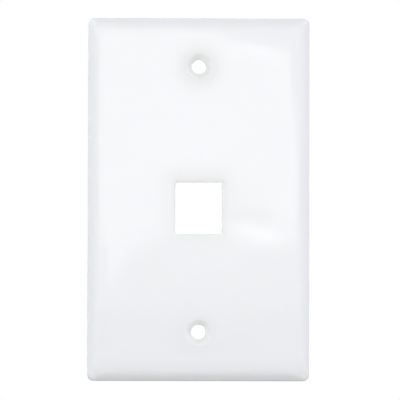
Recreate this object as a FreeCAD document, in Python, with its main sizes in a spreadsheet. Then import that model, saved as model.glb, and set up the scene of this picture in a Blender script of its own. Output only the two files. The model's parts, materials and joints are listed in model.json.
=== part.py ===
"""Keystone faceplate: a single-gang wall plate with one keystone port, moulded in one piece.

Millimetres. X is the width, +Z is up, and the front faces -Y. The rim sits on the wall
plane y = 0, and the origin is on that plane, midway between the two screw holes.
"""

import FreeCAD, Part
import os
from math import pi

import Sketcher
from FreeCAD import Vector

# ---------------------------------------------------------------- driving dimensions

SIZES = {
    # outline
    "plate_width": 69.85,
    "plate_height": 114.3,
    "plate_depth": 6.0,          # wall plane to the front face
    "outline_corner": 2.0,       # plan radius of the corners at the wall
    "corner_growth": 0.55,       # how much that radius opens for each mm of inset
    # edge, from the wall to the face: drafted side, shoulder, bevel, roll, fade
    "side_draft": 0.05,
    "shoulder_radius": 1.5,
    "bevel_length": 1.6,
    "roll_radius": 4.2,
    "fade_radius": 16.0,
    # hollow back
    "rim_wall": 1.8,
    "face_wall": 2.2,
    "hollow_draft": 0.05,
    "hollow_chamfer": 2.0,
    "hollow_corner": 1.2,
    # screw holes and their bosses
    "screw_spacing": 83.34,
    "screw_hole": 4.65,
    "countersink": 7.8,
    "countersink_angle": 82.0,
    "boss_diameter": 11.0,
    # keystone port, with depths measured back from the front face
    "port_drop": 2.9,            # port centre below the plate's centre
    "port_width": 14.7,
    "port_height": 16.3,
    "port_corner": 0.35,
    "housing_depth": 10.0,
    "housing_side": 2.4,
    "housing_end": 1.6,
    "housing_corner": 1.0,
    "ledge_start": 8.0,          # two ledges hold the jack, from here to the housing's end
    "latch_start": 4.0,          # recess above the port, for the jack's sprung latch
    "latch_recess": 4.0,
    "latch_opening": 2.0,        # how far the rear opening stands above the port
    "lug_start": 6.5,            # groove below the port, for the jack's fixed lug
    "lug_recess": 2.0,
    "lead_in": 0.8,
    # small radii and marks
    "root_radius": 0.8,          # where the housing and bosses meet the back of the face
    "edge_break": 0.25,          # front rims of the port and of the countersinks
    "ejector_diameter": 5.0,
    "ejector_depth": 0.15,
    "ejector_across": 46.0,
    "ejector_along": 84.0,
}

# Slopes of the edge's sections, in degrees from the face.
SHOULDER_SLOPES = (66, 45)
ROLL_SLOPES = (34, 23, 12)
FADE_SLOPES = (9, 6, 3, 0)

doc = FreeCAD.newDocument("keystone_faceplate")
sheet = doc.addObject("Spreadsheet::Sheet", "Sizes")
for row, (alias, value) in enumerate(SIZES.items(), start=1):
    sheet.set(f"A{row}", alias)
    sheet.set(f"B{row}", str(value))
    sheet.setAlias(f"B{row}", alias)

body = doc.addObject("PartDesign::Body", "faceplate")
body.Label = "faceplate"
doc.recompute()


# ---------------------------------------------------------------- sketch helpers

def new_sketch(role, name):
    """A sketch on one of the body's own origin planes."""
    sketch = body.newObject("Sketcher::SketchObject", name)
    plane = next(item for item in body.Origin.OriginFeatures if item.Role == role)
    sketch.AttachmentSupport = [(plane, "")]
    sketch.MapMode = "FlatFace"
    return sketch


def front_sketch(name, lift):
    """A sketch seen from the front: x is X, y is Z, and lift is its height off the wall."""
    sketch = new_sketch("XZ_Plane", name)
    sketch.setExpression("AttachmentOffset.Base.z", lift)
    return sketch


def dimension(sketch, name, expression, kind, *where):
    """A named constraint whose value follows the sheet."""
    constraint = Sketcher.Constraint(kind, *where, sheet.evalExpression(expression))
    sketch.renameConstraint(sketch.addConstraint(constraint), name)
    sketch.setExpression(f"Constraints.{name}", expression)


def add_rounded_rectangle(sketch, width, height, corner):
    """A rectangle with rounded corners, centred on the sketch's origin."""
    x, y = (sheet.evalExpression(f"({size}) / 2") for size in (width, height))
    r = sheet.evalExpression(corner)
    ends = [(r - x, y), (x - r, y), (x, y - r), (x, r - y),
            (x - r, -y), (r - x, -y), (-x, r - y), (-x, y - r)]
    centres = [(x - r, y - r), (x - r, r - y), (r - x, r - y), (r - x, y - r)]
    lines, arcs = [], []
    for side, centre in enumerate(centres):
        line = Part.LineSegment(Vector(*ends[2 * side]), Vector(*ends[2 * side + 1]))
        circle = Part.Circle(Vector(*centre), Vector(0, 0, 1), r)
        lines.append(sketch.addGeometry(line, False))
        arcs.append(sketch.addGeometry(
            Part.ArcOfCircle(circle, -side * pi / 2, (1 - side) * pi / 2), False))
    for side in range(4):
        following = lines[(side + 1) % 4]
        direction = "Vertical" if side % 2 else "Horizontal"
        sketch.addConstraint(Sketcher.Constraint("Tangent", lines[side], 2, arcs[side], 2))
        sketch.addConstraint(Sketcher.Constraint("Tangent", arcs[side], 1, following, 1))
        sketch.addConstraint(Sketcher.Constraint(direction, lines[side]))
    for side in range(3):
        sketch.addConstraint(Sketcher.Constraint("Equal", arcs[side], arcs[side + 1]))
    sketch.addConstraint(Sketcher.Constraint("Symmetric", arcs[0], 3, arcs[2], 3, -1, 1))
    dimension(sketch, "width", width, "DistanceX", lines[3], 1, lines[1], 1)
    dimension(sketch, "height", height, "DistanceY", lines[2], 1, lines[0], 1)
    dimension(sketch, "corner", corner, "Radius", arcs[0])


def add_circle(sketch, name, x, y, diameter):
    """A circle whose centre is at the expressions x and y."""
    centre = Vector(sheet.evalExpression(x), sheet.evalExpression(y))
    radius = sheet.evalExpression(diameter) / 2
    circle = sketch.addGeometry(Part.Circle(centre, Vector(0, 0, 1), radius), False)
    dimension(sketch, f"{name}_x", x, "DistanceX", -1, 1, circle, 3)
    dimension(sketch, f"{name}_y", y, "DistanceY", -1, 1, circle, 3)
    dimension(sketch, f"{name}_diameter", diameter, "Diameter", circle)


def add_polygon(sketch, corners):
    """A closed outline whose corners are at pairs of expressions x, y."""
    places = [Vector(*map(sheet.evalExpression, corner)) for corner in corners]
    lines = [sketch.addGeometry(Part.LineSegment(start, end), False)
             for start, end in zip(places, places[1:] + places[:1])]
    for index, (x, y) in enumerate(corners):
        sketch.addConstraint(Sketcher.Constraint("Coincident", lines[index - 1], 2, lines[index], 1))
        dimension(sketch, f"x{index}", x, "DistanceX", -1, 1, lines[index], 1)
        dimension(sketch, f"y{index}", y, "DistanceY", -1, 1, lines[index], 1)


# ---------------------------------------------------------------- feature helpers

def finish_feature(made, adds):
    """Recomputes a new feature and checks that it added, or cut, some material."""
    doc.recompute()
    base = made.BaseFeature.Shape.Volume if made.BaseFeature else 0.0
    change = made.Shape.Volume - base
    print(f"{made.Name}: {change:+.1f} mm3")
    if (change > 0) != adds:
        raise RuntimeError(f"{made.Name} changed the volume the wrong way")


def loft(name, sketches, adds, ruled):
    """Material added or cut between parallel sections."""
    made = body.newObject(f"PartDesign::{'Additive' if adds else 'Subtractive'}Loft", name)
    made.Profile = (sketches[0], [""])
    made.Sections = [(sketch, [""]) for sketch in sketches[1:]]
    made.Ruled = ruled
    finish_feature(made, adds)


def pad(name, sketch, length):
    """Material added from the sketch towards the front."""
    made = body.newObject("PartDesign::Pad", name)
    made.Profile = sketch
    made.setExpression("Length", length)
    finish_feature(made, True)


def pocket(name, sketch, length, both_ways=False, forward=False):
    """Material cut from the sketch, towards the wall unless it says otherwise."""
    made = body.newObject("PartDesign::Pocket", name)
    made.Profile = sketch
    made.Midplane = both_ways
    made.Reversed = forward
    made.setExpression("Length", length)
    finish_feature(made, False)


def round_edges(name, radius, lift):
    """Fillets the edges at one height off the wall, in the middle half of the plate's width."""
    level = -sheet.evalExpression(lift)
    reach = sheet.evalExpression("Sizes.plate_width / 4")
    base = body.Tip
    edges = []
    for number, edge in enumerate(base.Shape.Edges, start=1):
        box = edge.BoundBox
        flat = max(abs(box.YMin - level), abs(box.YMax - level)) < 0.001
        if flat and max(-box.XMin, box.XMax) < reach:
            edges.append(f"Edge{number}")
    made = body.newObject("PartDesign::Fillet", name)
    made.Base = (base, edges)
    made.setExpression("Radius", radius)
    doc.recompute()
    print(f"{name}: {len(edges)} edges, {made.Shape.Volume - base.Shape.Volume:+.1f} mm3")


# ---------------------------------------------------------------- outer shell

def edge_sections():
    """Inset and height, as expressions, of the edge's sections from the side to the face.

    The section curve is an arc, a straight bevel at 45 degrees and two more arcs, each
    tangent to the last, and it ends level with the face.
    """
    inset, fall = "Sizes.side_draft", "0"
    curve = [(inset, fall)]
    slope = 90
    stretches = (("Sizes.shoulder_radius", SHOULDER_SLOPES), ("", (45, 45)),
                 ("Sizes.roll_radius", ROLL_SLOPES), ("Sizes.fade_radius", FADE_SLOPES))
    for radius, slopes in stretches:
        for following in slopes:
            if radius:
                inset += f" + {radius} * (sin({slope} deg) - sin({following} deg))"
                fall += f" + {radius} * (cos({following} deg) - cos({slope} deg))"
            else:
                inset += " + Sizes.bevel_length / 2 * cos(45 deg)"
                fall += " + Sizes.bevel_length / 2 * sin(45 deg)"
            slope = following
            curve.append((inset, fall))
    return [(inset, f"Sizes.plate_depth - ({fall}) + ({rise})") for (inset, rise) in curve]


def outline_sketch(name, inset, lift):
    """The plate's outline, drawn in by the inset."""
    sketch = front_sketch(name, lift)
    add_rounded_rectangle(sketch, f"Sizes.plate_width - 2 * ({inset})",
                          f"Sizes.plate_height - 2 * ({inset})",
                          f"Sizes.outline_corner + Sizes.corner_growth * ({inset})")
    return sketch


curve = edge_sections()
edge_outlines = [outline_sketch(f"edge_outline_{n}", *place) for n, place in enumerate(curve)]
wall_outline = outline_sketch("wall_outline", "0", "0")
loft("drafted_side", [wall_outline, edge_outlines[0]], adds=True, ruled=True)
loft("rolled_edge", edge_outlines, adds=True, ruled=False)


# ---------------------------------------------------------------- hollow back

def hollow_section(name, inset, lift):
    sketch = front_sketch(name, lift)
    add_rounded_rectangle(sketch, f"Sizes.plate_width - 2 * ({inset})",
                          f"Sizes.plate_height - 2 * ({inset})", "Sizes.hollow_corner")
    return sketch


floor = "Sizes.plate_depth - Sizes.face_wall"
hollow_mouth = hollow_section("hollow_mouth", "Sizes.rim_wall", "0")
hollow_knee = hollow_section("hollow_knee", "Sizes.rim_wall + Sizes.hollow_draft",
                             f"{floor} - Sizes.hollow_chamfer")
hollow_floor = hollow_section(
    "hollow_floor", "Sizes.rim_wall + Sizes.hollow_draft + Sizes.hollow_chamfer", floor)
loft("hollow", [hollow_mouth, hollow_knee, hollow_floor], adds=False, ruled=True)

# Bosses and housing reach half-way into the face wall, so that they join it.
into_face = "Sizes.plate_depth - Sizes.face_wall / 2"
bosses = front_sketch("boss_circles", "0")
add_circle(bosses, "upper", "0", "Sizes.screw_spacing / 2", "Sizes.boss_diameter")
add_circle(bosses, "lower", "0", "-Sizes.screw_spacing / 2", "Sizes.boss_diameter")
pad("screw_bosses", bosses, into_face)


# ---------------------------------------------------------------- keystone port

def port_sketch(name, lift):
    """A front sketch whose origin is the centre of the port."""
    sketch = front_sketch(name, lift)
    sketch.setExpression("AttachmentOffset.Base.y", "-Sizes.port_drop")
    return sketch


# The housing is taller above the port, because the latch's recess is the deeper one.
above = "Sizes.port_height / 2 + Sizes.latch_recess + Sizes.housing_end"
below = "Sizes.port_height / 2 + Sizes.lug_recess + Sizes.housing_end"
housing = port_sketch("housing_outline", "Sizes.plate_depth - Sizes.housing_depth")
housing.setExpression("AttachmentOffset.Base.y", f"-Sizes.port_drop + (({above}) - ({below})) / 2")
add_rounded_rectangle(housing, "Sizes.port_width + 2 * Sizes.housing_side",
                      f"({above}) + ({below})", "Sizes.housing_corner")
pad("port_housing", housing, "Sizes.housing_depth - Sizes.face_wall / 2")

round_edges("root_fillets", "Sizes.root_radius", floor)

opening = port_sketch("port_outline", "0")
add_rounded_rectangle(opening, "Sizes.port_width", "Sizes.port_height", "Sizes.port_corner")
pocket("port_opening", opening, "3 * Sizes.housing_depth", both_ways=True)

# Section through the port, seen from the side: x is the depth behind the face, y is up.
catches = new_sketch("YZ_Plane", "catch_profile")
catches.setExpression("AttachmentOffset.Base.x", "-Sizes.plate_depth")
catches.setExpression("AttachmentOffset.Base.y", "-Sizes.port_drop")
top = "Sizes.port_height / 2"
bottom = "-Sizes.port_height / 2"
add_polygon(catches, [
    ("Sizes.latch_start", "0"),
    ("Sizes.latch_start", f"{top} + Sizes.latch_recess"),
    ("Sizes.ledge_start", f"{top} + Sizes.latch_recess"),
    ("Sizes.ledge_start", f"{top} + Sizes.latch_opening"),
    ("Sizes.housing_depth - Sizes.lead_in", f"{top} + Sizes.latch_opening"),
    ("Sizes.housing_depth", f"{top} + Sizes.latch_opening + Sizes.lead_in"),
    ("Sizes.housing_depth", f"{bottom} - Sizes.lead_in"),
    ("Sizes.housing_depth - Sizes.lead_in", bottom),
    ("Sizes.ledge_start", bottom),
    ("Sizes.ledge_start", f"{bottom} - Sizes.lug_recess"),
    ("Sizes.lug_start", f"{bottom} - Sizes.lug_recess"),
    ("Sizes.lug_start", "0"),
])
pocket("latch_and_lug_recesses", catches, "Sizes.port_width", both_ways=True)


# ---------------------------------------------------------------- screw holes

screws = front_sketch("screw_circles", "Sizes.plate_depth")
add_circle(screws, "upper", "0", "Sizes.screw_spacing / 2", "Sizes.screw_hole")
add_circle(screws, "lower", "0", "-Sizes.screw_spacing / 2", "Sizes.screw_hole")
doc.recompute()
screw_holes = body.newObject("PartDesign::Hole", "screw_holes")
screw_holes.Profile = screws
screw_holes.DepthType = "ThroughAll"
screw_holes.setExpression("Diameter", "Sizes.screw_hole")
screw_holes.HoleCutType = "Countersink"
screw_holes.HoleCutCustomValues = True
screw_holes.setExpression("HoleCutDiameter", "Sizes.countersink")
screw_holes.setExpression("HoleCutCountersinkAngle", "Sizes.countersink_angle")
finish_feature(screw_holes, adds=False)


# ---------------------------------------------------------------- marks and small radii

marks = front_sketch("ejector_circles", floor)
for column, x in (("left", "-Sizes.ejector_across / 2"), ("right", "Sizes.ejector_across / 2")):
    for row, y in (("upper", "Sizes.ejector_along / 2"), ("middle", "0"),
                   ("lower", "-Sizes.ejector_along / 2")):
        add_circle(marks, f"{row}_{column}", x, y, "Sizes.ejector_diameter")
pocket("ejector_marks", marks, "Sizes.ejector_depth", forward=True)
round_edges("front_rims", "Sizes.edge_break", "Sizes.plate_depth")


# ---------------------------------------------------------------- check and write

for item in doc.Objects:
    if "Invalid" in item.State or "Error" in item.State:
        raise RuntimeError(f"{item.Name} failed: {item.State}")
shape = body.Shape
if shape.isNull() or not shape.isValid() or len(shape.Solids) != 1:
    raise RuntimeError("faceplate isn't one valid solid")

os.makedirs("parts", exist_ok=True)
shape.exportStep(f"parts/{body.Label}.step")
print(f"faceplate: {shape.Volume:.0f} mm3, {len(shape.Faces)} faces, {shape.BoundBox}")
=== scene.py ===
# %% [markdown]
# A keystone faceplate is one white plastic moulding: a shallow dish with a rolled edge, two
# countersunk screw holes, and a port that a jack snaps into from behind. This lesson models
# it, gives it its polished finish, and lights it in front of white.

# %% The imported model
import json
from functools import partial
from math import cos, hypot, pi, radians, sin, tan

import bmesh
import bpy
from mathutils import Matrix, Vector


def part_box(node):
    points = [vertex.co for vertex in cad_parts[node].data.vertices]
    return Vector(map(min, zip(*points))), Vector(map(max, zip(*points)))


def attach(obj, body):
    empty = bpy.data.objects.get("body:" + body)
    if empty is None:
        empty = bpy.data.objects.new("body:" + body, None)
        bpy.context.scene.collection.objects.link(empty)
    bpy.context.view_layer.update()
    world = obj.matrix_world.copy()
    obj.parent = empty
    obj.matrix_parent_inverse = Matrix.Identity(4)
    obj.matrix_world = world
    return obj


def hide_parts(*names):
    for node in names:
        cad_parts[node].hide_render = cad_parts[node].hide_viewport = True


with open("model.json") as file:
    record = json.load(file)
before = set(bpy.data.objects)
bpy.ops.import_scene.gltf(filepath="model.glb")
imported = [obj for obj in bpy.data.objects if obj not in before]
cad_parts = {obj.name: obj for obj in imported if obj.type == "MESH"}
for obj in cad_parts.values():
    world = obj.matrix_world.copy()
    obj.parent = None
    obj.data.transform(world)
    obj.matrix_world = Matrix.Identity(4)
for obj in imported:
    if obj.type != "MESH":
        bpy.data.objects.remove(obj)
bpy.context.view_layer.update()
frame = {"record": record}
scene = bpy.context.scene
scene.view_settings.view_transform = "Standard"
low, high = (Vector(corner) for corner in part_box("faceplate"))
print("plate box", low, high)

# %% [markdown]
# The real plate is injected in one shot, so this is one closed mesh too. It is drawn in
# millimetres and brought down to metres at the end, because a bevel of a quarter of a
# millimetre is easier to read that way. Only the outline, the screw spacing and the port's
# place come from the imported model. The walls and radii below are the moulding's own.

# %% Sizes in millimetres
MM = 0.001
half_width, half_height = high.x / MM, high.z / MM
face_level, rear_level = low.y / MM, high.y / MM
mounts = {mount["name"]: mount for mount in frame["record"]["mounts"]}
screw_drop = mounts["screw_holes"]["dims"]["spacing_y_mm"] / 2
screw_radius = mounts["screw_holes"]["dims"]["hole_r_mm"]
port_middle = mounts["keystone_port"]["pos_m"][2] / MM
FACE_WALL, RIM_WALL = 2.2, 1.8
floor_level = face_level + FACE_WALL
print("plate", 2 * half_width, 2 * half_height, "port", port_middle, "screws", screw_drop)

# %% [markdown]
# The plate's edge, its hollow back and its housing are all rounded rectangles that change
# size as they go deeper. They could be cubes with bevelled edges, but then a corner's radius
# couldn't grow along the way. So a single face is rounded by bevelling its four corners. It
# is extruded again and again, and every end is reshaped, each corner about its own centre.

# %% Rounded rectangles
CORNER_STEPS = 10


class Outline:
    """A rounded rectangle parallel to the wall, in millimetres."""

    def __init__(self, half_x, half_z, corner, level, middle=0.0):
        self.half_x, self.half_z, self.corner = half_x, half_z, corner
        self.level, self.middle = level, middle

    def corner_centre(self, point):
        x, z = self.half_x - self.corner, self.half_z - self.corner
        return Vector((x if point.x > 0 else -x, self.level,
                       self.middle + (z if point.z > self.middle else -z)))

    def grown(self, by, level):
        """The outline that lies this far outside, at another level."""
        return Outline(self.half_x + by, self.half_z + by, self.corner + by, level, self.middle)


def start_outline(bm, outline):
    """A single face in the shape of the outline."""
    verts = bmesh.ops.create_grid(bm, x_segments=1, y_segments=1, size=1)["verts"]
    bmesh.ops.rotate(bm, verts=verts, matrix=Matrix.Rotation(pi / 2, 3, "X"))
    bmesh.ops.scale(bm, verts=verts, vec=(outline.half_x, 1, outline.half_z))
    bmesh.ops.translate(bm, verts=verts, vec=(0, outline.level, outline.middle))
    made = bmesh.ops.bevel(bm, geom=verts, offset=outline.corner, offset_type="OFFSET",
                           affect="VERTICES", segments=CORNER_STEPS, profile=0.5, material=-1)
    return made["verts"][0].link_faces[0]


def reshape(verts, now, then):
    """Moves the vertices of one outline to the same places on another."""
    for vert in verts:
        spoke = (vert.co - now.corner_centre(vert.co)) / now.corner
        vert.co = then.corner_centre(vert.co) + spoke * then.corner


def remove_face(bm, face):
    bmesh.ops.delete(bm, geom=[face], context="FACES_ONLY")


def extrude_to(bm, face, now, then):
    """Extrudes an outline's face and gives its end the next outline. The face itself stays."""
    made = bmesh.ops.extrude_face_region(bm, geom=[face])["geom"]
    end = next(item for item in made if isinstance(item, bmesh.types.BMFace))
    reshape(end.verts, now, then)
    return end


def extrude_through(bm, face, outlines):
    """Moves a face along a list of outlines, the first being its own, with walls behind it."""
    for now, then in zip(outlines, outlines[1:]):
        end = extrude_to(bm, face, now, then)
        remove_face(bm, face)
        face = end
    return face


print("a rounded rectangle has", 4 * (CORNER_STEPS + 1), "points")

# %% [markdown]
# Seen from the side, the front edge is a tight shoulder, a short slope at 45 degrees and two
# longer arcs that fade into the face. A bevel with one profile would show a line where it
# meets the face. Here each arc starts in the direction in which the last one ended, so
# reflections run over the edge without a break.

# %% Section through the edge
LIP_ROUND = 0.2
SIDE_DRAFT = 0.05
SLOPE, SLOPE_LENGTH = 45, 1.6
ARCS = ((1.5, 90, SLOPE, 5), (4.2, SLOPE, 12, 7), (16.0, 12, 0, 7))  # radius, angles, steps
EDGE_CORNER, CORNER_GROWTH = 2.0, 0.55
FACE_MARGIN = 3.0


def edge_section():
    """Inset and level of every loop round the outside, from the wall to the face."""
    inset, fall = SIDE_DRAFT, 0.0
    points = [(inset, fall)]
    for radius, start, end, steps in ARCS:
        for step in range(1, steps + 1):
            a = radians(start + (end - start) * (step - 1) / steps)
            b = radians(start + (end - start) * step / steps)
            inset += radius * (sin(a) - sin(b))
            fall += radius * (cos(b) - cos(a))
            points.append((inset, fall))
        if end == SLOPE:
            inset += SLOPE_LENGTH * cos(radians(SLOPE))
            fall += SLOPE_LENGTH * sin(radians(SLOPE))
            points.append((inset, fall))
    return [(inset, face_level + points[-1][1] - fall) for inset, fall in points]


def lip_section(inset, turn):
    """Three loops round one edge of the lip that rests on the wall."""
    bend = LIP_ROUND * (1 - sin(pi / 4))
    return [(inset + turn * LIP_ROUND, 0.0), (inset + turn * bend, -bend), (inset, -LIP_ROUND)]


def plate_outline(inset, level, corner):
    return Outline(half_width - inset, half_height - inset, corner, level)


sections = lip_section(0.0, 1) + edge_section()
sections.append((sections[-1][0] + FACE_MARGIN, face_level))
outside = [plate_outline(inset, level, EDGE_CORNER + CORNER_GROWTH * inset)
           for inset, level in sections]
print("loops outside", len(outside), "face starts at inset", sections[-2][0])

# %% [markdown]
# Behind, a thin rim stands on the wall round a hollow with sloping sides. A Solidify
# modifier would give it the front's shape at one thickness, but the real core has its own.
# So its loops start from the same first face, and the shell is closed from the start. The
# two flat ends are taken out again, because the holes are joined to them later.

# %% Shell
HOLLOW_CORNER = 1.2
HOLLOW_SLOPE = 2.0
HOLLOW_ROUND = 0.6
FLOOR_MARGIN = 1.5
CORNER_SLACK = 0.8
KNEE, FLOOR_EDGE = 3, 4  # places in the list of inner sections


def same(first, second):
    """Whether two lengths are equal to a thousandth of a millimetre."""
    return abs(first - second) < 0.001


def is_level(item, level):
    """Whether an edge or a face lies at one depth."""
    return all(same(vert.co.y, level) for vert in item.verts)


def bevel_loop(bm, edges, radius, steps=4):
    """Rounds a loop of edges with an arc of this radius."""
    bmesh.ops.bevel(bm, geom=edges, offset=radius, offset_type="OFFSET", affect="EDGES",
                    segments=steps, profile=0.5, material=-1, clamp_overlap=True)


def inner_sections():
    knee = RIM_WALL + SIDE_DRAFT
    floor = knee + HOLLOW_SLOPE
    return (lip_section(RIM_WALL, -1) + [(knee, floor_level + HOLLOW_SLOPE), (floor, floor_level),
                                         (floor + FLOOR_MARGIN, floor_level)])


def on_outline(edge, inset, level):
    """Whether both ends of an edge are on the hollow's outline at this inset and level."""
    reach = [max(abs(vert.co.x) - half_width, abs(vert.co.z) - half_height) + inset
             for vert in edge.verts]
    return is_level(edge, level) and max(reach) < CORNER_SLACK and min(reach) > -CORNER_SLACK


def add_shell(bm):
    back = start_outline(bm, outside[0])
    first_loop = extrude_to(bm, back, outside[0], outside[1])
    bmesh.ops.recalc_face_normals(bm, faces=bm.faces)
    front = extrude_through(bm, first_loop, outside[1:])
    hollow = [outside[0]] + [plate_outline(inset, level, HOLLOW_CORNER)
                             for inset, level in inner_sections()]
    back = extrude_through(bm, back, hollow)
    remove_face(bm, front)
    remove_face(bm, back)
    for inset, level in inner_sections()[KNEE:FLOOR_EDGE + 1]:
        ring = [edge for edge in bm.edges if edge.is_manifold and on_outline(edge, inset, level)]
        bevel_loop(bm, ring, HOLLOW_ROUND)


body = bmesh.new()
add_shell(body)
print("shell has", len(body.faces), "faces")

# %% [markdown]
# Each screw hole is turned about its own axis: the countersink, the throat, the boss that
# stands on the wall and its rounded root. Cutting with a cone and a cylinder would leave
# slivers. Instead a few points make half of the section, a spin makes it round, and the
# rings are bevelled afterwards with the radii of the mould.

# %% Screw holes and bosses
SINK_RADIUS, SINK_ANGLE = 3.9, radians(41)
BOSS_RADIUS = 5.5
ROUND_STEPS = 48
FACE_COLLAR, ROOT_COLLAR = 1.2, 1.8  # flat bands kept round an opening and round a root
ROOT_ROUND = 0.8
HOLE_ROUNDS = (0.25, 0.2, 0.2, 0.25, ROOT_ROUND)  # from the countersink's rim to the root


def add_screw_hole(bm, middle):
    throat_level = face_level + (SINK_RADIUS - screw_radius) / tan(SINK_ANGLE)
    section = [(SINK_RADIUS + FACE_COLLAR, face_level), (SINK_RADIUS, face_level),
               (screw_radius, throat_level), (screw_radius, 0), (BOSS_RADIUS, 0),
               (BOSS_RADIUS, floor_level), (BOSS_RADIUS + ROOT_COLLAR, floor_level)]
    verts = [bm.verts.new((radius, level, middle)) for radius, level in section]
    edges = [bm.edges.new(pair) for pair in zip(verts, verts[1:])]
    bmesh.ops.spin(bm, geom=verts + edges, cent=(0, 0, middle), axis=(0, 1, 0),
                   angle=2 * pi, steps=ROUND_STEPS, use_merge=True)
    for (radius, level), rounding in zip(section[1:-1], HOLE_ROUNDS):
        ring = [edge for edge in bm.edges if on_ring(edge, middle, radius, level)]
        bevel_loop(bm, ring, rounding)


def on_ring(edge, middle, radius, level):
    """Whether an edge is on the circle of this radius round a hole's axis."""
    return is_level(edge, level) and all(
        same(hypot(vert.co.x, vert.co.z - middle), radius) for vert in edge.verts)


for side in (-1, 1):
    add_screw_hole(body, side * screw_drop)
print("two screw holes of radius", screw_radius, "in bosses of radius", BOSS_RADIUS)

# %% [markdown]
# The port is a tunnel with catches for a jack. Every catch runs across its whole width, so
# its side view is drawn once, as depth behind the face and height above the port's middle,
# and extruded sideways. Building the catches one by one would leave seams between them. The
# recess above takes the jack's latch and the groove below its lug. The ledge at the back
# stops them, and the slopes at the rear guide them in.

# %% Port
PORT_HALF_WIDTH, PORT_HALF_HEIGHT, PORT_CORNER = 7.35, 8.15, 0.35
HOUSING_DEPTH = rear_level - face_level
LATCH_START, LUG_START, LEDGE_START = 4.0, 6.5, 8.0  # depths behind the face
LATCH_ROOM, LUG_ROOM = 4.0, 2.0
REAR_RISE, LEAD_IN = 2.0, 0.8
RIM_ROUND = 0.15
MOUTH_SLACK = 0.01
CORNER_BEVEL_STEPS = 6
port_mouth = Outline(PORT_HALF_WIDTH, PORT_HALF_HEIGHT, PORT_CORNER, face_level, port_middle)


def catch_section():
    """The tunnel's side view, as depths and heights, from the mouth's top to its bottom."""
    top, bottom = PORT_HALF_HEIGHT, -PORT_HALF_HEIGHT
    latch = [(0, top), (LATCH_START, top), (LATCH_START, top + LATCH_ROOM),
             (LEDGE_START, top + LATCH_ROOM), (LEDGE_START, top + REAR_RISE)]
    rear = [(HOUSING_DEPTH - LEAD_IN, top + REAR_RISE),
            (HOUSING_DEPTH, top + REAR_RISE + LEAD_IN),
            (HOUSING_DEPTH, bottom - LEAD_IN), (HOUSING_DEPTH - LEAD_IN, bottom)]
    lug = [(LEDGE_START, bottom), (LEDGE_START, bottom - LUG_ROOM),
           (LUG_START, bottom - LUG_ROOM), (LUG_START, bottom), (0, bottom)]
    return latch + rear + lug


def add_port(bm):
    verts = [bm.verts.new((-PORT_HALF_WIDTH, face_level + depth, port_middle + height))
             for depth, height in catch_section()]
    side = bm.faces.new(verts)
    made = bmesh.ops.extrude_face_region(bm, geom=[side])["geom"]
    far = [item for item in made if isinstance(item, bmesh.types.BMVert)]
    bmesh.ops.translate(bm, verts=far, vec=(2 * PORT_HALF_WIDTH, 0, 0))
    walls = {face for vert in verts + far for face in vert.link_faces}
    for face in walls:
        if is_level(face, face_level) or is_level(face, rear_level):
            remove_face(bm, face)
    corners = [edge for edge in bm.edges if runs_from_mouth(edge)]
    bevel_loop(bm, corners, PORT_CORNER, CORNER_BEVEL_STEPS)
    mouth = [edge for edge in bm.edges if edge.is_boundary and in_mouth(edge)]
    add_collar(bm, mouth, port_mouth, FACE_COLLAR, RIM_ROUND)


def runs_from_mouth(edge):
    """Whether the edge is one of the four that run straight back from the mouth's corners."""
    ends = sorted(vert.co.y for vert in edge.verts)
    across = [same(abs(vert.co.x), PORT_HALF_WIDTH)
              and same(abs(vert.co.z - port_middle), PORT_HALF_HEIGHT) for vert in edge.verts]
    return all(across) and same(ends[0], face_level) and ends[1] > face_level + 1


def in_mouth(edge):
    """Whether the edge is on the port's rim in the face."""
    return is_level(edge, face_level) and all(
        abs(vert.co.x) < PORT_HALF_WIDTH + MOUTH_SLACK
        and abs(vert.co.z - port_middle) < PORT_HALF_HEIGHT + MOUTH_SLACK for vert in edge.verts)


def add_collar(bm, rim, outline, width, rounding):
    """A flat collar round a rim of edges, and then the rim's own rounding."""
    made = bmesh.ops.extrude_edge_only(bm, edges=rim)["geom"]
    outer = [item for item in made if isinstance(item, bmesh.types.BMVert)]
    reshape(outer, outline, outline.grown(width, outline.level))
    bevel_loop(bm, rim, rounding)


add_port(body)
print("port", 2 * PORT_HALF_WIDTH, "by", 2 * PORT_HALF_HEIGHT, "and", HOUSING_DEPTH, "deep")

# %% [markdown]
# The housing is the box of plastic round the port. It could be a second object joined on,
# but a moulding has no joint there. So it is one more rounded rectangle, extruded from its
# flat rear end down to a filleted root on the plate's floor.

# %% Housing
HOUSING_SIDE, HOUSING_END, HOUSING_CORNER = 2.4, 1.6, 1.0
REAR_INSET, REAR_ROUND = 0.7, 0.3


def add_housing(bm):
    top = PORT_HALF_HEIGHT + LATCH_ROOM + HOUSING_END
    bottom = PORT_HALF_HEIGHT + LUG_ROOM + HOUSING_END
    middle = port_middle + (top - bottom) / 2
    rear = Outline(PORT_HALF_WIDTH + HOUSING_SIDE, (top + bottom) / 2, HOUSING_CORNER,
                   rear_level, middle)
    shapes = [rear.grown(-REAR_INSET, rear_level), rear, rear.grown(0, floor_level),
              rear.grown(ROOT_COLLAR, floor_level)]
    remove_face(bm, extrude_through(bm, start_outline(bm, shapes[0]), shapes))
    for level, rounding in ((rear_level, REAR_ROUND), (floor_level, ROOT_ROUND)):
        ring = [edge for edge in bm.edges if not edge.is_boundary and is_level(edge, level)
                and all(on_housing(vert.co, rear) for vert in edge.verts)]
        bevel_loop(bm, ring, rounding)
    return rear


def on_housing(point, outline):
    """Whether a point is on the housing's sides, ends or rounded corners."""
    centre = outline.corner_centre(point)
    across, up = abs(point.x - centre.x), abs(point.z - centre.z)
    side = same(abs(point.x), outline.half_x)
    end = same(abs(point.z - outline.middle), outline.half_z)
    return side or end or same(hypot(across, up), outline.corner)


housing = add_housing(body)
print("housing", 2 * housing.half_x, "by", 2 * housing.half_z)

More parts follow.
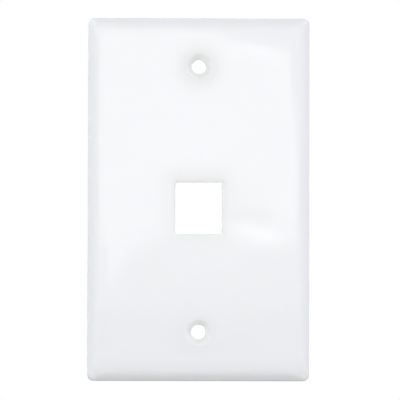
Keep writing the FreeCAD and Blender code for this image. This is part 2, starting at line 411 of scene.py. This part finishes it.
# %% [markdown]
# Six round marks behind the face are where the ejector pins pushed the plate off the mould.
# A bump texture could suggest them, but they are real steps, so each is a disc pushed in.

# %% Ejector marks
EJECTOR_RADIUS, EJECTOR_DEPTH, EJECTOR_POINTS = 2.5, 0.15, 32
EJECTOR_COLUMNS, EJECTOR_ROWS = (-23, 23), (-42, 0, 42)


def add_ejector_mark(bm, x, z):
    made = bmesh.ops.create_circle(bm, cap_ends=True, segments=EJECTOR_POINTS,
                                   radius=EJECTOR_RADIUS)
    verts = made["verts"]
    bmesh.ops.rotate(bm, verts=verts, matrix=Matrix.Rotation(pi / 2, 3, "X"))
    bmesh.ops.translate(bm, verts=verts, vec=(x, floor_level, z))
    start = verts[0].link_faces[0]
    made = bmesh.ops.extrude_face_region(bm, geom=[start])["geom"]
    sunk = [item for item in made if isinstance(item, bmesh.types.BMVert)]
    bmesh.ops.translate(bm, verts=sunk, vec=(0, -EJECTOR_DEPTH, 0))
    remove_face(bm, start)


for column in EJECTOR_COLUMNS:
    for row in EJECTOR_ROWS:
        add_ejector_mark(body, column, row)
print("ejector marks", len(EJECTOR_COLUMNS) * len(EJECTOR_ROWS))

# %% [markdown]
# Now every rim lies in one of three flat planes: the face, the hollow's floor and the
# housing's rear end. Boolean cuts would do the same work, but they can leave hairline gaps.
# Filling between the open edges of each plane closes the moulding with no gap at all.

# %% Flats
def fill_flat(bm, level):
    rims = [edge for edge in bm.edges if edge.is_boundary and is_level(edge, level)]
    made = bmesh.ops.triangle_fill(bm, use_beauty=True, use_dissolve=False, edges=rims,
                                   normal=(0, -1, 0))
    faces = [item for item in made["geom"] if isinstance(item, bmesh.types.BMFace)]
    print("flat at", level, "has", len(rims), "rim edges and", len(faces), "faces")


def finished_mesh(bm, name):
    """Points every face outwards, brings the shape down to metres and keeps it as a mesh."""
    bmesh.ops.recalc_face_normals(bm, faces=bm.faces)
    open_edges = sum(not edge.is_manifold for edge in bm.edges)
    bmesh.ops.scale(bm, verts=bm.verts, vec=(MM, MM, MM))
    print("moulding", len(bm.faces), "faces", open_edges, "open edges",
          round(bm.calc_volume(signed=True) / MM ** 3), "mm3")
    mesh = bpy.data.meshes.new(name)
    bm.to_mesh(mesh)
    bm.free()
    return mesh


for level in (face_level, floor_level, rear_level):
    fill_flat(body, level)
mesh = finished_mesh(body, "faceplate_moulding")

# %% [markdown]
# A moulded skin is never perfectly flat: the mould leaves slow waves and a fine grain. They
# are far too small to model, so they are noise that tilts the shading. The polished front
# and the matt back use the same noise with other values, so it is a node group.

# %% Skin
WAVE_DETAIL, GRAIN_DETAIL, DRIFT_DETAIL = 1.0, 3.0, 2.0


def feed(links, socket, value):
    """Links another node's output to a socket, or sets the socket to a plain value."""
    if isinstance(value, bpy.types.NodeSocket):
        links.new(value, socket)
    else:
        socket.default_value = value


def math_node(nodes, links, operation, *values):
    """A Math node's output. Each value is another node's output or a plain number."""
    node = nodes.new("ShaderNodeMath")
    node.operation = operation
    for socket, value in zip(node.inputs, values):
        feed(links, socket, value)
    return node.outputs[0]


def new_group(name, inputs, outputs):
    """An empty node group with the given number inputs and outputs."""
    group = bpy.data.node_groups.new(name, "ShaderNodeTree")
    for title in inputs:
        group.interface.new_socket(title, in_out="INPUT", socket_type="NodeSocketFloat")
    for title in outputs:
        group.interface.new_socket(title, in_out="OUTPUT", socket_type="NodeSocketFloat")
    return group, group.nodes.new("NodeGroupInput"), group.nodes.new("NodeGroupOutput")


def skin_group():
    """Slow waviness and fine grain, as a height, and a little variation in roughness."""
    group, given, result = new_group(
        "moulded_skin", ("Wave Size", "Grain Size", "Grain Share", "Roughness", "Spread"),
        ("Height", "Roughness"))
    nodes, links = group.nodes, group.links
    place = nodes.new("ShaderNodeTexCoord")
    found = {}
    for name, size, detail in (("wave", "Wave Size", WAVE_DETAIL),
                               ("grain", "Grain Size", GRAIN_DETAIL),
                               ("drift", "Wave Size", DRIFT_DETAIL)):
        noise = nodes.new("ShaderNodeTexNoise")
        noise.inputs["Detail"].default_value = detail
        links.new(place.outputs["Object"], noise.inputs["Vector"])
        links.new(given.outputs[size], noise.inputs["Scale"])
        found[name] = noise.outputs["Fac"]
    height = math_node(nodes, links, "MULTIPLY_ADD", found["grain"],
                       given.outputs["Grain Share"], found["wave"])
    links.new(height, result.inputs["Height"])
    centred = math_node(nodes, links, "SUBTRACT", found["drift"], 0.5)
    rough = math_node(nodes, links, "MULTIPLY_ADD", centred, given.outputs["Spread"],
                      given.outputs["Roughness"])
    links.new(rough, result.inputs["Roughness"])
    return group


skin = skin_group()
print("skin group has", len(skin.nodes), "nodes")

# %% [markdown]
# White plastic lets light in. Round an opening some of that light is lost through the walls,
# so the face looks a little greyer there, while the thin walls themselves glow. Shading it
# with more lamps would spoil the rest of the plate. So a second group measures how far each
# point is from an opening's rim, and the plastic's white follows that distance: painted shade
# greys it near a rim, and painted light brightens the walls within it.

# %% Distance from an opening
def opening_group():
    """Near fades from 1 at an opening's rim to 0 outwards. Inside is 1 within the rim."""
    group, given, result = new_group(
        "opening_painted_shade_and_light", ("Middle", "Half Width", "Half Height", "Rim", "Reach"),
        ("Near", "Inside"))
    nodes, links = group.nodes, group.links
    calc = partial(math_node, nodes, links)
    place = nodes.new("ShaderNodeTexCoord")
    split = nodes.new("ShaderNodeSeparateXYZ")
    links.new(place.outputs["Object"], split.inputs[0])
    up = calc("SUBTRACT", split.outputs["Z"], given.outputs["Middle"])
    squares = []
    for along, half in ((split.outputs["X"], "Half Width"), (up, "Half Height")):
        past = calc("SUBTRACT", calc("ABSOLUTE", along), given.outputs[half])
        past = calc("MAXIMUM", past, 0.0)
        squares.append(calc("MULTIPLY", past, past))
    distance = calc("SUBTRACT", calc("SQRT", calc("ADD", *squares)), given.outputs["Rim"])
    outside = calc("GREATER_THAN", distance, 0.0)
    faded = calc("SUBTRACT", 1.0, calc("DIVIDE", distance, given.outputs["Reach"]))
    faded = calc("MAXIMUM", faded, 0.0)
    near = calc("MULTIPLY", calc("MULTIPLY", faded, faded), outside)
    links.new(near, result.inputs["Near"])
    links.new(calc("SUBTRACT", 1.0, outside), result.inputs["Inside"])
    return group


opening = opening_group()
print("opening group has", len(opening.nodes), "nodes")

# %% Tone of the plastic, with painted shade and painted light at the openings
WHITE = (0.862, 0.87, 0.885, 1)
# Painted shade: a greyer white on the face round each opening, standing in for light lost through
# the walls behind.
PAINTED_SHADE_WHITE = (0.776, 0.783, 0.780, 1)
# Painted light: a lighter white on the openings' own walls, standing in for light that comes in
# from behind.
PAINTED_WALL_LIGHT_WHITE = (0.94, 0.94, 0.94, 1)
# The port, the upper and the lower hole: middle, half width, half height, rim and reach in
# millimetres, and then how strongly the painted shade shows there.
OPENINGS = ((port_middle, PORT_HALF_WIDTH, PORT_HALF_HEIGHT, 0.22, 8.5, 0.40),
            (screw_drop, 0.0, 0.0, 4.0, 7.0, 1.0), (-screw_drop, 0.0, 0.0, 4.0, 7.0, 0.1))


def mixed(nodes, links, factor, first, second):
    """A colour that goes from the first to the second while the factor goes from 0 to 1."""
    mix = nodes.new("ShaderNodeMix")
    mix.data_type = "RGBA"
    links.new(factor, mix.inputs["Factor"])
    ends = (socket for socket in mix.inputs if socket.type == "RGBA")
    for socket, colour in zip(ends, (first, second)):
        feed(links, socket, colour)
    return next(socket for socket in mix.outputs if socket.type == "RGBA")


def plastic_colour_with_painted_light(nodes, links):
    """The plastic's white, with painted shade near an opening and painted light on its walls."""
    near, inside = 0.0, 0.0
    for *sizes, share in OPENINGS:
        node = nodes.new("ShaderNodeGroup")
        node.node_tree = opening
        for socket, size in zip(node.inputs, sizes):
            socket.default_value = size * MM
        near = math_node(nodes, links, "MULTIPLY_ADD", node.outputs["Near"], share, near)
        inside = math_node(nodes, links, "ADD", node.outputs["Inside"], inside)
    colour = WHITE
    # First the painted shade round the openings, then the painted light on their walls.
    for factor, tone in ((near, PAINTED_SHADE_WHITE), (inside, PAINTED_WALL_LIGHT_WHITE)):
        colour = mixed(nodes, links, factor, colour, tone)
    return colour


# Each of these openings has painted shade round it and painted light on its walls.
print("openings with a tone of their own", len(OPENINGS))

# %% [markdown]
# The plastic is a glossy white with light scattered inside it. A plain diffuse white would
# look like paper, so the shader's subsurface weight is full, with a reach of a few
# millimetres that is a little shorter for blue. Roughness and bump come from the skin group.

# %% Plastic
PLASTIC_IOR = 1.5
SCATTER_COLOUR, SCATTER_REACH = (1.0, 0.95, 0.9), 0.003
GRAIN_SIZE = 2500.0


def white_plastic(name, roughness, spread, wave_size, grain_share, bump):
    material = bpy.data.materials.new(name)
    material.use_nodes = True
    nodes, links = material.node_tree.nodes, material.node_tree.links
    shader = nodes["Principled BSDF"]
    # The base colour carries the painted shade round the openings and the painted light on their
    # walls.
    links.new(plastic_colour_with_painted_light(nodes, links), shader.inputs["Base Color"])
    shader.inputs["IOR"].default_value = PLASTIC_IOR
    shader.inputs["Subsurface Weight"].default_value = 1.0
    shader.inputs["Subsurface Radius"].default_value = SCATTER_COLOUR
    shader.inputs["Subsurface Scale"].default_value = SCATTER_REACH
    node = nodes.new("ShaderNodeGroup")
    node.node_tree = skin
    for socket, value in zip(node.inputs, (wave_size, GRAIN_SIZE, grain_share, roughness, spread)):
        socket.default_value = value
    links.new(node.outputs["Roughness"], shader.inputs["Roughness"])
    lift = nodes.new("ShaderNodeBump")
    lift.inputs["Distance"].default_value = bump
    links.new(node.outputs["Height"], lift.inputs["Height"])
    links.new(lift.outputs["Normal"], shader.inputs["Normal"])
    return material


mesh.materials.append(white_plastic("polished_white", roughness=0.04, spread=0.01,
                                    wave_size=25.0, grain_share=0.0, bump=0.00002))
mesh.materials.append(white_plastic("matt_white", roughness=0.45, spread=0.1,
                                    wave_size=45.0, grain_share=0.05, bump=0.0002))
print("materials", [material.name for material in mesh.materials])

# %% [markdown]
# The front of the mould is polished, the walls of the openings with it, and its core is left
# slightly matt. Two objects would show a seam, so the one mesh has both materials and each
# face picks its own by where it lies. Last, the faces are shaded smooth, and a Weighted
# Normal modifier keeps the large flat ones flat beside the small rounded ones.

# %% The moulding
PORT_MARGIN, CORE_MARGIN, CORE_DEPTH = 0.1, 1.5, 0.3
SHARP_ANGLE = radians(40)
FLAT_WEIGHT = 80


def is_behind(centre):
    """Whether a place is on the skin that the mould's core made, and not in an opening."""
    x, z = abs(centre.x) / MM, centre.z / MM
    in_port = (x < PORT_HALF_WIDTH + PORT_MARGIN
               and abs(z - port_middle) < PORT_HALF_HEIGHT + PORT_MARGIN)
    in_hole = hypot(x, abs(z) - screw_drop) < SINK_RADIUS
    in_hollow = x < half_width - CORE_MARGIN and abs(z) < half_height - CORE_MARGIN
    in_core = in_hollow and centre.y / MM > floor_level - CORE_DEPTH
    return in_core and not in_port and not in_hole


for face in mesh.polygons:
    face.material_index = int(is_behind(face.center))
mesh.shade_smooth()
mesh.set_sharp_from_angle(angle=SHARP_ANGLE)
moulding = bpy.data.objects.new("faceplate_moulding", mesh)
scene.collection.objects.link(moulding)
weighted = moulding.modifiers.new("flat_faces_stay_flat", "WEIGHTED_NORMAL")
weighted.mode = "FACE_AREA"
weighted.weight = FLAT_WEIGHT
weighted.keep_sharp = True
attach(moulding, "root")
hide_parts("faceplate")
print("matt faces", sum(face.material_index for face in mesh.polygons), "of", len(mesh.polygons))

# %% [markdown]
# The plate is held up by its screws, so the floor lies some way below it and is only seen
# from higher up. It is one large square. To the camera it is a pale grey, and to the light a
# slightly darker one, so that it doesn't brighten the plate's lower edge too much.

# %% Floor
FLOOR_HALF, FLOOR_DROP, FLOOR_ROUGHNESS = 0.55, 0.06, 0.9
FLOOR_GREY, FLOOR_PALE = (0.5, 0.5, 0.5, 1), (0.6, 0.6, 0.6, 1)


def pale_floor():
    bm = bmesh.new()
    bmesh.ops.create_grid(bm, x_segments=1, y_segments=1, size=FLOOR_HALF)
    bmesh.ops.translate(bm, verts=bm.verts, vec=(0, 0, low.z - FLOOR_DROP))
    mesh = bpy.data.meshes.new("floor")
    bm.to_mesh(mesh)
    bm.free()
    floor = bpy.data.objects.new("floor", mesh)
    scene.collection.objects.link(floor)
    material = bpy.data.materials.new("floor_white")
    material.use_nodes = True
    nodes, links = material.node_tree.nodes, material.node_tree.links
    shader = nodes["Principled BSDF"]
    seen = nodes.new("ShaderNodeLightPath").outputs["Is Camera Ray"]
    links.new(mixed(nodes, links, seen, FLOOR_GREY, FLOOR_PALE), shader.inputs["Base Color"])
    shader.inputs["Roughness"].default_value = FLOOR_ROUGHNESS
    mesh.materials.append(material)


pale_floor()
print("floor", 2 * FLOOR_HALF, "m wide, at", round(low.z - FLOOR_DROP, 4))

# %% [markdown]
# The world is white wherever the camera or a reflection looks. One white world for
# everything would wash the plate out, so its light on the plate is a separate one: weak from
# above, and stronger from behind, where it comes in through the openings and lights their
# walls. The direction of each ray tells which part of the world it meets.

# %% World
SKY, BACKDROP = 0.085, 0.8
SKY_BAND, BACKDROP_BAND = (-0.25, 0.25), (0.0, 0.2)


def ramp(nodes, links, value, start, end):
    """Rises smoothly from 0 to 1 while the value goes from start to end."""
    node = nodes.new("ShaderNodeMapRange")
    node.interpolation_type = "SMOOTHSTEP"
    feed(links, node.inputs["From Min"], start)
    feed(links, node.inputs["From Max"], end)
    links.new(value, node.inputs["Value"])
    return node.outputs["Result"]


def looked_at(nodes, links):
    """1 on the rays of the camera, of reflections and of what is seen through glass."""
    path = nodes.new("ShaderNodeLightPath")
    found = path.outputs["Is Camera Ray"]
    for ray in ("Is Glossy Ray", "Is Transmission Ray"):
        found = math_node(nodes, links, "MAXIMUM", found, path.outputs[ray])
    return found


def white_world():
    world = bpy.data.worlds.new("white_world")
    scene.world = world
    world.use_nodes = True
    nodes, links = world.node_tree.nodes, world.node_tree.links
    place = nodes.new("ShaderNodeTexCoord")
    split = nodes.new("ShaderNodeSeparateXYZ")
    links.new(place.outputs["Generated"], split.inputs[0])
    above = ramp(nodes, links, split.outputs["Z"], *SKY_BAND)
    behind = ramp(nodes, links, split.outputs["Y"], *BACKDROP_BAND)
    sky = math_node(nodes, links, "MULTIPLY", above, SKY)
    strength = math_node(nodes, links, "MULTIPLY_ADD", behind, BACKDROP, sky)
    glow = nodes["Background"]
    glow.inputs["Color"].default_value = (1, 1, 1, 1)
    links.new(strength, glow.inputs["Strength"])
    seen = nodes.new("ShaderNodeBackground")
    seen.inputs["Color"].default_value = (1, 1, 1, 1)
    seen.inputs["Strength"].default_value = 1.0
    mix = nodes.new("ShaderNodeMixShader")
    links.new(looked_at(nodes, links), mix.inputs[0])
    links.new(glow.outputs[0], mix.inputs[1])
    links.new(seen.outputs[0], mix.inputs[2])
    links.new(mix.outputs[0], nodes["World Output"].inputs["Surface"])


white_world()
print("world gives", SKY, "from above and", BACKDROP, "more from behind")

# %% [markdown]
# Soft lamps light the plate from the front, from above and from both sides. Small lamps
# would throw hard shadows into the port, so these are as large as a studio's softboxes. They
# only give light: a polished face would show them as bright rectangles if it mirrored them.

# %% Lamps
COOL = (0.985, 1.0, 1.07)
PLATE_MIDDLE = (0, 0, 0)
# Name, place, width and height in metres, and power.
SOFTBOXES = (("fill_softbox", (0, -1.3, 0.35), 1.4, 0.9, 7.5),
             ("top_card", (0, -0.1, 0.9), 1.0, 0.5, 0.7),
             ("left_card", (-0.95, -0.1, 0.1), 0.5, 0.8, 2.1),
             ("right_card", (0.95, -0.1, 0.1), 0.5, 0.8, 2.3))


def softbox(name, place, width, height, power, aim=PLATE_MIDDLE):
    """A rectangular lamp aimed at a point. Neither the camera nor a reflection sees it."""
    light = bpy.data.lights.new(name, "AREA")
    light.shape = "RECTANGLE"
    light.size, light.size_y = width, height
    light.energy = power
    light.color = COOL
    lamp = bpy.data.objects.new(name, light)
    lamp.location = place
    lamp.rotation_euler = (Vector(aim) - Vector(place)).to_track_quat("-Z", "Y").to_euler()
    lamp.visible_camera = False
    lamp.visible_glossy = False
    scene.collection.objects.link(lamp)
    return lamp


for settings in SOFTBOXES:
    softbox(*settings)
print("softboxes", [settings[0] for settings in SOFTBOXES])

# %% [markdown]
# One lamp is there to be mirrored: a wide softbox in front. A real one isn't evenly bright.
# Its cloth is darker towards its foot, brightest in its middle, and creased. Folding a sheet
# of cloth would show the same, but only after much trying. So nodes in the lamp draw these
# parts with straight edges and soft ramps, from each point's place on the cloth in metres.

# %% Cloth of the mirrored softbox
FOOT_BAND, FOOT_SHARE = (-0.076, -0.040), 0.8
MIDDLE_SHARE = 1.3
# A line on the cloth is a place on it, x and z, and its slope.
LEFT_HEM, RIGHT_HEM = (-0.0262, -0.0137, 0.93), (0.0676, -0.0092, -0.03)
TOP_FOLD = (0.0632, 0.1436, -0.17)
HEM_BAND, FOLD_BAND, FOLD_END = (-0.004, 0.006), (0.004, -0.004), (0.05, 0.03)
SIDE_BAND, SIDE_DROP, RISE_BAND = (0.07, 0.15), 0.036, (-0.048, -0.034)
REACH_BAND = (0.8, 0.3)
# A crease is a line's place and slope, where it starts and ends, its width and its share.
CREASES = ((0.0676, 0.0014, -0.33, 0.050, 0.078, 0.004, 2.2),
           (0.0580, 0.0160, -0.10, 0.046, 0.075, 0.007, -1.1),
           (0.0240, -0.0140, 0.0, 0.000, 0.048, 0.012, 0.7),
           (0.0572, 0.1403, -0.33, 0.040, 0.088, 0.004, 1.4))
CREASE_FADE = 0.006


def height_above(calc, x, z, at_x, at_z, slope):
    """How far a point is above the line that has this slope and goes through a place."""
    return calc("ADD", z, calc("MULTIPLY_ADD", x, -slope, slope * at_x - at_z))


def cloth_middle(calc, between, x, z):
    """The brightest part: above two hems, below a fold, and fading far from the plate."""
    left, right, fold = (height_above(calc, x, z, *line)
                         for line in (LEFT_HEM, RIGHT_HEM, TOP_FOLD))
    hem = between(calc("MAXIMUM", left, right), *HEM_BAND)
    rise = calc("MULTIPLY_ADD", between(calc("ABSOLUTE", x), *SIDE_BAND), -SIDE_DROP, z)
    middle = calc("MULTIPLY", hem, between(rise, *RISE_BAND))
    corner = calc("MAXIMUM", between(fold, *FOLD_BAND), between(x, *FOLD_END))
    reach = calc("SQRT", calc("ADD", calc("MULTIPLY", x, x), calc("MULTIPLY", z, z)))
    return calc("MULTIPLY", calc("MULTIPLY", middle, corner), between(reach, *REACH_BAND))


def crease(calc, between, x, z, at_x, at_z, slope, start, end, width):
    """A soft streak along a line, between two places across the cloth."""
    offset = calc("MULTIPLY", height_above(calc, x, z, at_x, at_z, slope), 1 / width)
    glow = calc("EXPONENT", calc("MULTIPLY", calc("MULTIPLY", offset, offset), -1.0))
    within = calc("MULTIPLY", between(x, start - CREASE_FADE, start + CREASE_FADE),
                  between(x, end + CREASE_FADE, end - CREASE_FADE))
    return calc("MULTIPLY", glow, within)


def draw_cloth(lamp):
    """Makes the lamp brighter above its foot and in its middle, with a few creases."""
    lamp.data.use_nodes = True
    nodes, links = lamp.data.node_tree.nodes, lamp.data.node_tree.links
    calc, between = partial(math_node, nodes, links), partial(ramp, nodes, links)
    place = nodes.new("ShaderNodeNewGeometry")
    split = nodes.new("ShaderNodeSeparateXYZ")
    links.new(place.outputs["Position"], split.inputs[0])
    x, z = split.outputs["X"], split.outputs["Z"]
    foot = calc("MULTIPLY", between(z, *FOOT_BAND), FOOT_SHARE)
    cloth = calc("MULTIPLY_ADD", cloth_middle(calc, between, x, z), MIDDLE_SHARE, foot)
    for *line, share in CREASES:
        cloth = calc("MULTIPLY_ADD", crease(calc, between, x, z, *line), share, cloth)
    links.new(cloth, nodes["Emission"].inputs["Strength"])
    print(lamp.name, "is drawn with", len(nodes), "nodes")


# %% Mirrored softbox
WARM = (0.99, 1.0, 0.945)
FRONT_PLACE, FRONT_AIM = (0, -1.1, 0.435), (0, 0, 0.435)
FRONT_WIDTH, FRONT_HEIGHT, FRONT_POWER = 1.6, 1.03, 5.8
front = softbox("front_softbox", FRONT_PLACE, FRONT_WIDTH, FRONT_HEIGHT, FRONT_POWER, FRONT_AIM)
front.visible_glossy = True
front.data.color = WARM
draw_cloth(front)

# %% [markdown]
# The plate is seen almost straight on, from far enough away that its sides stay parallel.
# A long lens does that. The camera stands on a sphere round the plate, at a small angle to
# the left and below, and is turned a little about its own axis.

# %% Camera
LENS, SENSOR = 230.74, 36.0
DISTANCE, AZIMUTH, ELEVATION, ROLL = 0.8092, radians(-1.097), radians(-1.407), radians(0.157)
TARGET = Vector((0.00049, 0.0, -0.00013))
camera_data = bpy.data.cameras.new("camera")
camera_data.lens = LENS
camera_data.sensor_width = SENSOR
camera = bpy.data.objects.new("camera", camera_data)
camera.location = TARGET + DISTANCE * Vector((
    sin(AZIMUTH) * cos(ELEVATION), -cos(AZIMUTH) * cos(ELEVATION), sin(ELEVATION)))
aim = (TARGET - camera.location).to_track_quat("-Z", "Y")
camera.rotation_euler = (aim.to_matrix() @ Matrix.Rotation(ROLL, 3, "Z")).to_euler()
scene.collection.objects.link(camera)
scene.camera = camera
print("camera at", camera.location)
